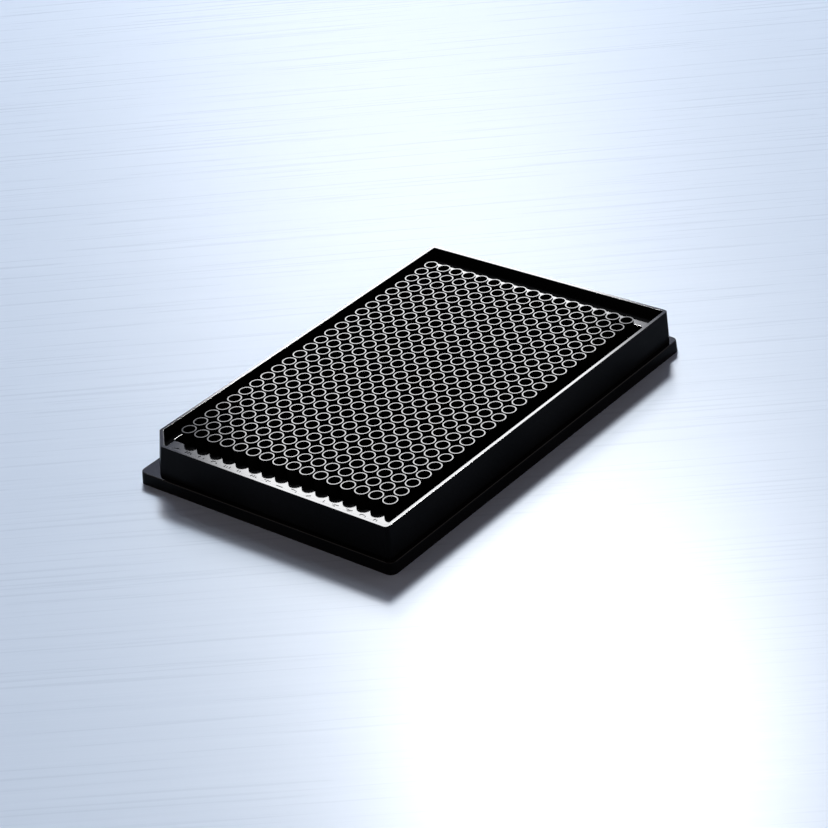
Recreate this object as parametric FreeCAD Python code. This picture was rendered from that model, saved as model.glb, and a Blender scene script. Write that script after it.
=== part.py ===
import FreeCAD, Part
import math
import os

# A multi-well laboratory plate moulded in one piece.
# Units are mm. Origin: centre of the footprint on the standing face.
# +X runs along the long side, +Y along the short side, +Z up.
# Well A1 is at (-X, +Y), beside the one chamfered corner.

# Footprint and foot flange
LENGTH = 127.76           # footprint, long side
WIDTH = 85.48             # footprint, short side
FLANGE_H = 3.45           # height of the foot flange
FLANGE_DRAFT = 0.22       # inward draft of the flange's outer face
FLANGE_R = 2.05           # radius of the flange's upright corners
FLANGE_EDGE_R = 0.3       # rounding of the flange's top edge
FOOT_T = 1.3              # thickness of the flange's foot wall
LEDGE_T = 1.3             # thickness of the flange's ledge

# Side walls and the collar above the deck
RIM_X = 61.90             # half length at the collar's top, outside
RIM_Y = 40.70             # half width at the collar's top, outside
RIM_Z = 12.55             # height of the collar's top
DRAFT = 0.28              # outward draft of the walls from collar to flange
RIM_T = 1.02              # thickness of the collar at its top
RIM_DRAFT_IN = 0.06       # inward draft of the collar's inner face
RIM_R = 1.2               # outside corner radius of the walls
RIM_EDGE_R = 0.12         # rounding of the collar's top edges
RIM_R_IN = 0.3            # inside corner radius of the collar
CHAMFER_TOP = 6.15        # leg of the chamfered corner at the collar's top
CHAMFER_BASE = 4.85       # leg of the chamfered corner at the flange

# Deck, pocket and slab
DECK_Z = 9.95             # top of the deck that frames the well field
DECK_T = 1.2              # thickness of the deck
POCKET_X = 54.60          # half length of the sunken pocket
POCKET_Y = 36.85          # half width of the sunken pocket
POCKET_Z = 8.0            # floor of the pocket between the wells
POCKET_R = 0.5            # upright corner radius of the pocket
POCKET_EDGE_R = 0.35      # rounding of the pocket's top edge
SLAB_T = 1.2              # thickness of the slab that joins the wells
POCKET_WALL = 1.2         # thickness of the pocket's side walls
SKIRT_T = 1.2             # thickness of the side walls under the deck

# Wells
PITCH = 4.5
COLS, ROWS = 24, 16
TOP_Z = 12.7              # height of the well tops
WELL_R = 1.68             # radius of a well's mouth
WELL_R_BOTTOM = 1.0       # radius of a well's flat bottom
WELL_DEPTH = 5.5
TUBE_R = 1.98             # outside radius of a well's tube at its top
TUBE_R_BASE = 2.03        # outside radius of the tube at the pocket's floor
STUB_R = 1.75             # radius of the boss under each well
STUB_H = 0.6              # how far the boss stands below the slab

# Raised row letters on the deck beside the first column
LETTER_X = -57.75         # centre line of the letters
LETTER_W, LETTER_H = 1.1, 1.7
STROKE = 0.2              # width of a stroke
LETTER_UP = 0.12          # how far the letters stand above the deck

HX, HY = LENGTH / 2, WIDTH / 2


def outline(hx, hy, leg=0.0):
    """Corner points of a rectangle, counter-clockwise, with the (-X,+Y) corner chamfered."""
    pts = [(hx, -hy), (hx, hy)]
    pts += [(-hx + leg, hy), (-hx, hy - leg)] if leg else [(-hx, hy)]
    return pts + [(-hx, -hy)]


def frustum(low, z0, high, z1, radius, chamfer_radius=0.0):
    """Solid between two outlines; its upright edges are rounded."""
    a = [FreeCAD.Vector(x, y, z0) for x, y in low]
    b = [FreeCAD.Vector(x, y, z1) for x, y in high]
    n = len(a)
    faces = [Part.Face(Part.makePolygon(a[::-1] + [a[-1]])), Part.Face(Part.makePolygon(b + [b[0]]))]
    for i in range(n):
        j = (i + 1) % n
        faces.append(Part.Face(Part.makePolygon([a[i], a[j], b[j], b[i], a[i]])))
    solid = Part.Solid(Part.Shell(faces))
    square, slanted = [], []
    for e in solid.Edges:
        p, q = e.Vertexes[0].Point, e.Vertexes[1].Point
        if abs(p.z - q.z) < 1e-6:
            continue
        # the two uprights beside the chamfer are the ones off the plain corners
        corner = min(range(n), key=lambda k: min((a[k] - p).Length, (a[k] - q).Length))
        if n == 5 and corner in (2, 3):
            slanted.append(e)
        else:
            square.append(e)
    if radius:
        solid = solid.makeFillet(radius, square).Solids[0]
    if chamfer_radius and slanted:
        keep = []
        for e in solid.Edges:
            p, q = e.Vertexes[0].Point, e.Vertexes[1].Point
            for s in slanted:
                u, v = s.Vertexes[0].Point, s.Vertexes[1].Point
                if ((p - u).Length < 1e-4 and (q - v).Length < 1e-4) or ((p - v).Length < 1e-4 and (q - u).Length < 1e-4):
                    keep.append(e)
        solid = solid.makeFillet(chamfer_radius, keep).Solids[0]
    return solid


def wall_out(z):
    """Outside outline of the side walls at height z."""
    k = (RIM_Z - z) / (RIM_Z - FLANGE_H)
    leg = CHAMFER_TOP + (CHAMFER_BASE - CHAMFER_TOP) * k
    return outline(RIM_X + DRAFT * k, RIM_Y + DRAFT * k, leg)


def inset(points, t):
    """The same chamfered outline moved inwards by t on every side."""
    hx, hy = points[0][0], points[1][1]
    leg = points[2][0] + hx
    return outline(hx - t, hy - t, leg - t * (2 - math.sqrt(2)))


# Foot flange with a rounded top edge
flange = frustum(
    outline(HX, HY), 0.0, outline(HX - FLANGE_DRAFT, HY - FLANGE_DRAFT), FLANGE_H, FLANGE_R
)
flange = flange.makeFillet(
    FLANGE_EDGE_R,
    [e for e in flange.Edges if all(abs(v.Point.z - FLANGE_H) < 1e-6 for v in e.Vertexes)],
)

# Side walls, drafted, with the corner beside A1 chamfered
low_z = FLANGE_H - LEDGE_T / 2
walls = frustum(wall_out(low_z), low_z, wall_out(RIM_Z), RIM_Z, RIM_R, 0.4)
body = flange.fuse(walls).removeSplitter()

# Room inside the collar, down to the deck
over = 1.0
slope = RIM_DRAFT_IN / (RIM_Z - DECK_Z)
collar = frustum(
    inset(wall_out(RIM_Z), RIM_T + RIM_DRAFT_IN),
    DECK_Z,
    inset(wall_out(RIM_Z), RIM_T - slope * over),
    RIM_Z + over,
    RIM_R_IN,
)
body = body.cut(collar)

# Sunken pocket that holds the wells
pocket = frustum(outline(POCKET_X, POCKET_Y), POCKET_Z, outline(POCKET_X, POCKET_Y), DECK_Z + 1, POCKET_R)
body = body.cut(pocket)
lip = []
for e in body.Edges:
    box = e.BoundBox
    if abs(box.ZMin - DECK_Z) < 1e-5 and abs(box.ZMax - DECK_Z) < 1e-5:
        if max(abs(box.XMin), abs(box.XMax)) < POCKET_X + 0.01 and max(abs(box.YMin), abs(box.YMax)) < POCKET_Y + 0.01:
            lip.append(e)
body = body.makeFillet(POCKET_EDGE_R, lip)

# Softened edges along the collar's top, outside and inside
rim = []
for e in body.Edges:
    box = e.BoundBox
    if abs(box.ZMin - RIM_Z) < 1e-5 and abs(box.ZMax - RIM_Z) < 1e-5:
        rim.append(e)
body = body.makeFillet(RIM_EDGE_R, rim)

# Open underside: foot recess, then the room between the skirt and the pocket
foot = frustum(
    outline(HX - FOOT_T, HY - FOOT_T), -1.0, outline(HX - FOOT_T, HY - FOOT_T), FLANGE_H - LEDGE_T, FLANGE_R - FOOT_T
)
room_top = DECK_Z - DECK_T
room = frustum(
    inset(wall_out(FLANGE_H), SKIRT_T), FLANGE_H - LEDGE_T - 0.5, inset(wall_out(room_top), SKIRT_T), room_top, 0.6
)
island = frustum(
    outline(POCKET_X + POCKET_WALL, POCKET_Y + POCKET_WALL),
    POCKET_Z - SLAB_T,
    outline(POCKET_X + POCKET_WALL, POCKET_Y + POCKET_WALL),
    DECK_Z,
    POCKET_R + POCKET_WALL,
)
room = room.cut(island)
body = body.cut(foot).cut(room)

# The wells: upright tubes through the slab, each with a small boss underneath
slab_mid = POCKET_Z - SLAB_T / 2
tube_r_mid = TUBE_R_BASE + (TUBE_R_BASE - TUBE_R) * (POCKET_Z - slab_mid) / (TOP_Z - POCKET_Z)
stub_z = POCKET_Z - SLAB_T - STUB_H


def turned(profile):
    """Solid of revolution about Z from (radius, height) points."""
    pts = [FreeCAD.Vector(r, 0, z) for r, z in profile]
    return Part.Face(Part.makePolygon(pts + [pts[0]])).revolve(
        FreeCAD.Vector(0, 0, 0), FreeCAD.Vector(0, 0, 1), 360
    )


tube = turned(
    [(0, stub_z), (STUB_R, stub_z), (STUB_R, slab_mid), (tube_r_mid, slab_mid), (TUBE_R, TOP_Z), (0, TOP_Z)]
)
flare = (WELL_R - WELL_R_BOTTOM) / WELL_DEPTH
bore = turned(
    [(0, TOP_Z - WELL_DEPTH), (WELL_R_BOTTOM, TOP_Z - WELL_DEPTH), (WELL_R + flare, TOP_Z + 1.0), (0, TOP_Z + 1.0)]
)
tubes, bores = [], []
for i in range(ROWS):
    for j in range(COLS):
        at = FreeCAD.Vector((j - (COLS - 1) / 2) * PITCH, ((ROWS - 1) / 2 - i) * PITCH, 0)
        tubes.append(tube.translated(at))
        bores.append(bore.translated(at))

# Row letters as strokes on a grid 2 wide and 4 high
GLYPHS = {
    "A": [[(0, 0), (1, 4), (2, 0)], [(0.4, 1.4), (1.6, 1.4)]],
    "B": [[(0, 0), (0, 4), (1.5, 4), (2, 3.5), (2, 2.6), (1.5, 2.1), (0, 2.1)], [(1.5, 2.1), (2, 1.6), (2, 0.5), (1.5, 0), (0, 0)]],
    "C": [[(2, 3.3), (1.4, 4), (0.6, 4), (0, 3.3), (0, 0.7), (0.6, 0), (1.4, 0), (2, 0.7)]],
    "D": [[(0, 0), (0, 4), (1.3, 4), (2, 3.2), (2, 0.8), (1.3, 0), (0, 0)]],
    "E": [[(2, 0), (0, 0), (0, 4), (2, 4)], [(0, 2.1), (1.6, 2.1)]],
    "F": [[(0, 0), (0, 4), (2, 4)], [(0, 2.1), (1.6, 2.1)]],
    "G": [[(2, 3.3), (1.4, 4), (0.6, 4), (0, 3.3), (0, 0.7), (0.6, 0), (1.4, 0), (2, 0.7), (2, 1.9), (1.2, 1.9)]],
    "H": [[(0, 0), (0, 4)], [(2, 0), (2, 4)], [(0, 2), (2, 2)]],
    "I": [[(1, 0), (1, 4)]],
    "J": [[(2, 4), (2, 0.8), (1.4, 0), (0.6, 0), (0, 0.8)]],
    "K": [[(0, 0), (0, 4)], [(2, 4), (0, 1.7)], [(0.8, 2.6), (2, 0)]],
    "L": [[(0, 4), (0, 0), (2, 0)]],
    "M": [[(0, 0), (0, 4), (1, 1.8), (2, 4), (2, 0)]],
    "N": [[(0, 0), (0, 4), (2, 0), (2, 4)]],
    "O": [[(0.6, 0), (0, 0.7), (0, 3.3), (0.6, 4), (1.4, 4), (2, 3.3), (2, 0.7), (1.4, 0), (0.6, 0)]],
    "P": [[(0, 0), (0, 4), (1.5, 4), (2, 3.5), (2, 2.6), (1.5, 2.1), (0, 2.1)]],
}


def letter(strokes, x, y):
    """One raised letter centred on (x, y)."""
    bars = []
    for line in strokes:
        pts = [
            FreeCAD.Vector(x + (u / 2 - 0.5) * LETTER_W, y + (v / 4 - 0.5) * LETTER_H, DECK_Z - 0.2) for u, v in line
        ]
        for p, q in zip(pts, pts[1:]):
            d = (q - p).normalize() * (STROKE / 2)
            n = FreeCAD.Vector(-d.y, d.x, 0)
            bars.append(Part.Face(Part.makePolygon([p - d - n, q + d - n, q + d + n, p - d + n, p - d - n])))
    flat = bars[0].fuse(bars[1:]).removeSplitter() if len(bars) > 1 else bars[0]
    return flat.extrude(FreeCAD.Vector(0, 0, 0.2 + LETTER_UP))


letters = []
for i, name in enumerate(sorted(GLYPHS)):
    solids = letter(GLYPHS[name], LETTER_X, ((ROWS - 1) / 2 - i) * PITCH).Solids
    letters.extend(solids)
body = body.fuse(letters)

body = body.fuse(tubes)
plate = body.cut(bores)
if plate.ShapeType != "Solid":
    plate = plate.Solids[0]

os.makedirs("parts", exist_ok=True)
plate.exportStep("parts/plate.step")
print("plate", plate.isValid(), len(plate.Faces), "faces", round(plate.Volume, 1), "mm3", plate.BoundBox)
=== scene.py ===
import math

import bpy
from mathutils import Matrix, Vector

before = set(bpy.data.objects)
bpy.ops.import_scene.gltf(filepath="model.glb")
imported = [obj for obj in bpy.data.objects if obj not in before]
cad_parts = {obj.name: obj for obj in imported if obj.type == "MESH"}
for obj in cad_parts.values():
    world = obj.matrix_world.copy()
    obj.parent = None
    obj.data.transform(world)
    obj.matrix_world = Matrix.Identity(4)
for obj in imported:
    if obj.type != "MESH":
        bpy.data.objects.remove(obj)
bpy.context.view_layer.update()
scene = bpy.context.scene


# ---------------------------------------------------------------- node helpers
class Tree:
    """Small wrapper that makes and links shader nodes."""

    def __init__(self, tree):
        self.tree = tree
        tree.nodes.clear()

    def add(self, kind, settings=None, **inputs):
        node = self.tree.nodes.new(kind)
        for key, value in (settings or {}).items():
            setattr(node, key, value)
        for key, value in inputs.items():
            socket = node.inputs[int(key[1:])] if key[0] == "i" and key[1:].isdigit() else node.inputs[key.replace("_", " ")]
            self.put(value, socket)
        return node

    def put(self, value, socket):
        if isinstance(value, bpy.types.NodeSocket):
            self.tree.links.new(value, socket)
        else:
            socket.default_value = value

    def math(self, operation, a, b=0.0, c=0.0, clamp=False):
        n = self.add("ShaderNodeMath", {"operation": operation, "use_clamp": clamp})
        for k, v in enumerate((a, b, c)):
            self.put(v, n.inputs[k])
        return n.outputs[0]

    def ramp(self, value, lo, hi, to_lo=0.0, to_hi=1.0, kind="SMOOTHSTEP"):
        n = self.add("ShaderNodeMapRange", {"interpolation_type": kind})
        for k, v in enumerate((value, lo, hi, to_lo, to_hi)):
            self.put(v, n.inputs[k])
        return n.outputs[0]

    def mix(self, factor, a, b):
        n = self.add("ShaderNodeMix", {"data_type": "RGBA"})
        self.put(factor, n.inputs[0])
        self.put(a, n.inputs[6])
        self.put(b, n.inputs[7])
        return n.outputs[2]

    def noise(self, vector, scale, detail=2.0, rough=0.5):
        n = self.add("ShaderNodeTexNoise", Vector=vector, Scale=scale, Detail=detail, Roughness=rough)
        return n.outputs["Fac"]


def material(name):
    m = bpy.data.materials.new(name)
    m.use_nodes = True
    return m, Tree(m.node_tree)


# ---------------------------------------------------------------- black moulded plastic
def black_plastic():
    m, t = material("black_plastic")
    where = t.add("ShaderNodeTexCoord").outputs["Object"]
    # slow tone drift and fine speckle of the pigmented plastic
    drift = t.noise(where, 45.0, 3.0)
    speck = t.noise(where, 2600.0, 2.0)
    tone = t.ramp(t.math("ADD", t.math("MULTIPLY", drift, 0.7), t.math("MULTIPLY", speck, 0.3)), 0.32, 0.68)
    colour = t.mix(tone, (0.0028, 0.0029, 0.0034, 1), (0.0062, 0.0063, 0.0070, 1))
    # polished mould with slightly duller patches
    haze = t.noise(where, 130.0, 4.0, 0.6)
    steep = t.math("ABSOLUTE", t.add("ShaderNodeSeparateXYZ", Vector=t.add("ShaderNodeNewGeometry").outputs["Normal"]).outputs[2])
    satin = t.ramp(steep, 0.25, 0.7, 0.30, 0.0)
    shine = t.ramp(steep, 0.25, 0.7, 0.035, 0.5)
    # the tube tops are a little less glossy than the deck and the collar
    z = t.add("ShaderNodeSeparateXYZ", Vector=where).outputs[2]
    shine = t.math("MULTIPLY", shine, t.ramp(z, 0.01258, 0.01266, 1.0, 0.76))
    rough = t.math("ADD", t.ramp(haze, 0.3, 0.7, 0.045, 0.075), satin)
    ripple = t.noise(where, 260.0, 2.0)
    grain = t.noise(where, 5200.0, 3.0)
    height = t.math("ADD", t.math("MULTIPLY", ripple, 0.6), t.math("MULTIPLY", grain, 0.12))
    bump = t.add("ShaderNodeBump", Strength=0.08, Distance=0.00004, Height=height).outputs[0]
    bsdf = t.add("ShaderNodeBsdfPrincipled", Base_Color=colour, Roughness=rough, IOR=1.42, Specular_IOR_Level=shine, Normal=bump)
    t.add("ShaderNodeOutputMaterial", Surface=bsdf.outputs[0])
    return m


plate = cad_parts["plate"]
plastic = black_plastic()
if plate.material_slots:
    for s in plate.material_slots:
        s.material = plastic
else:
    plate.data.materials.append(plastic)


# ---------------------------------------------------------------- floor
def floor_material():
    m, t = material("floor_sheet")
    where = t.add("ShaderNodeTexCoord").outputs["Object"]
    # fine brushing, drawn out along the sheet's X
    line = t.add("ShaderNodeMapping", Vector=where, Scale=(9.0, 700.0, 1.0)).outputs[0]
    strokes = t.noise(line, 1.0, 4.0, 0.6)
    wide = t.add("ShaderNodeMapping", Vector=where, Scale=(2.5, 60.0, 1.0)).outputs[0]
    bands = t.noise(wide, 1.0, 3.0, 0.5)
    tone = t.ramp(t.math("ADD", t.math("MULTIPLY", strokes, 0.75), t.math("MULTIPLY", bands, 0.25)), 0.3, 0.7)
    colour = t.mix(tone, (0.58, 0.70, 0.85, 1), (0.61, 0.73, 0.88, 1))
    rough = t.ramp(strokes, 0.3, 0.7, 0.27, 0.29)
    bump = t.add("ShaderNodeBump", Strength=0.015, Distance=0.0001, Height=strokes).outputs[0]
    bsdf = t.add("ShaderNodeBsdfPrincipled", Base_Color=colour, Roughness=rough, IOR=1.27, Normal=bump)
    t.add("ShaderNodeOutputMaterial", Surface=bsdf.outputs[0])
    return m


def flat_mesh(name, points, faces, mat):
    mesh = bpy.data.meshes.new(name)
    mesh.from_pydata(points, [], faces)
    mesh.update()
    mesh.materials.append(mat)
    o = bpy.data.objects.new(name, mesh)
    scene.collection.objects.link(o)
    return o


W = 6.0
floor = flat_mesh("floor", [(-W, -W, 0), (W, -W, 0), (W, W, 0), (-W, W, 0)], [(0, 1, 2, 3)], floor_material())
floor.rotation_euler = (0, 0, math.atan2(-0.78345, 0.61479))
floor.location = (0, 0, -0.00005)


# ---------------------------------------------------------------- studio light
DEG = math.radians(1.0)
KEY = 45.0                                # softbox behind the plate, W
KEY_AZ, KEY_EL, KEY_FAR, KEY_SIZE = 36.0, 42.0, 2.4, 0.34
PANEL = 13.0                              # pale panel that the level faces mirror
FAR = (0.55, 0.62, 0.85)                   # wall on the far side
AROUND = (0.054, 0.038, 0.035)             # dim, slightly warm studio on the other sides
HORIZON = (0.40, 0.43, 0.48)               # pale band behind the floor
SIDE = 0.45                                # pale cards at the sides and at the front

world = bpy.data.worlds.new("studio")
scene.world = world
world.use_nodes = True
t = Tree(world.node_tree)
way = t.add("ShaderNodeTexCoord").outputs["Generated"]
xyz = t.add("ShaderNodeSeparateXYZ", Vector=way).outputs
azimuth = t.math("ARCTAN2", xyz[1], xyz[0])
height = t.math("ARCSINE", t.math("MINIMUM", t.math("MAXIMUM", xyz[2], -1.0), 1.0))


def angle_from(centre):
    a = t.math("ABSOLUTE", t.math("SUBTRACT", azimuth, centre * DEG))
    return t.math("MINIMUM", a, t.math("SUBTRACT", 2 * math.pi, a))


def window(centre, half, soft, low, low_soft, high, high_soft):
    across = t.ramp(angle_from(centre), (half - soft) * DEG, (half + soft) * DEG, 1.0, 0.0)
    under = t.ramp(height, (low - low_soft) * DEG, (low + low_soft) * DEG)
    over = t.ramp(height, (high - high_soft) * DEG, (high + high_soft) * DEG, 1.0, 0.0)
    return t.math("MULTIPLY", t.math("MULTIPLY", across, under), over)


def plus(a, factor, colour):
    glow = t.add("ShaderNodeVectorMath", {"operation": "SCALE"}, i0=colour, i3=factor).outputs[0]
    return t.add("ShaderNodeVectorMath", {"operation": "ADD"}, i0=a, i1=glow).outputs[0]


far = t.math("MULTIPLY", t.ramp(angle_from(40.0), 12 * DEG, 60 * DEG, 1.0, 0.0), t.ramp(height, 38 * DEG, 50 * DEG, 1.0, 0.0))
total = plus(AROUND, far, FAR)
total = plus(total, t.ramp(height, 7 * DEG, 16 * DEG, 1.0, 0.0), HORIZON)
total = plus(total, window(41.05, 5.15, 1.3, 24.0, 2.5, 36.0, 2.5), (PANEL, PANEL, PANEL))
for centre in (-45.0, 135.0, -135.0):
    total = plus(total, window(centre, 22.0, 8.0, 13.0, 4.0, 34.0, 4.0), (SIDE * 1.06, SIDE * 0.92, SIDE * 0.87))
# pale card up on the left, seen only by the floor
total = plus(total, window(51.0, 7.0, 2.0, 39.5, 2.0, 47.0, 2.5), (8.0, 8.5, 9.1))
background = t.add("ShaderNodeBackground", Color=total, Strength=1.0)
t.add("ShaderNodeOutputWorld", Surface=background.outputs[0])

key_data = bpy.data.lights.new("softbox", "AREA")
key_data.shape = "RECTANGLE"
key_data.size, key_data.size_y = KEY_SIZE, KEY_SIZE * 0.8
key_data.energy = KEY
key_data.color = (1.0, 1.0, 1.0)
key = bpy.data.objects.new("softbox", key_data)
scene.collection.objects.link(key)
toward = Vector(
    (
        math.cos(KEY_AZ * DEG) * math.cos(KEY_EL * DEG),
        math.sin(KEY_AZ * DEG) * math.cos(KEY_EL * DEG),
        math.sin(KEY_EL * DEG),
    )
)
key.location = toward * KEY_FAR
key.rotation_mode = "QUATERNION"
key.rotation_quaternion = toward.to_track_quat("Z", "Y")

scene.view_settings.view_transform = "Standard"


# ---------------------------------------------------------------- camera
cam_data = bpy.data.cameras.new("camera")
cam_data.sensor_width = 36.0
cam_data.lens = 113.834
cam_data.shift_x = -0.0006
cam_data.shift_y = -0.0006
cam_data.clip_start = 0.01
cam_data.clip_end = 30.0
cam = bpy.data.objects.new("camera", cam_data)
scene.collection.objects.link(cam)
right = Vector((0.61479, -0.78345, -0.09081))
up_way = Vector((0.45140, 0.25511, 0.85508))
back = Vector((-0.64674, -0.56669, 0.51049))
turn = Matrix((right, up_way, back)).transposed()
cam.matrix_world = Matrix.Translation((-0.45599, -0.39883, 0.35992)) @ turn.to_4x4()
scene.camera = cam

bpy.context.view_layer.update()
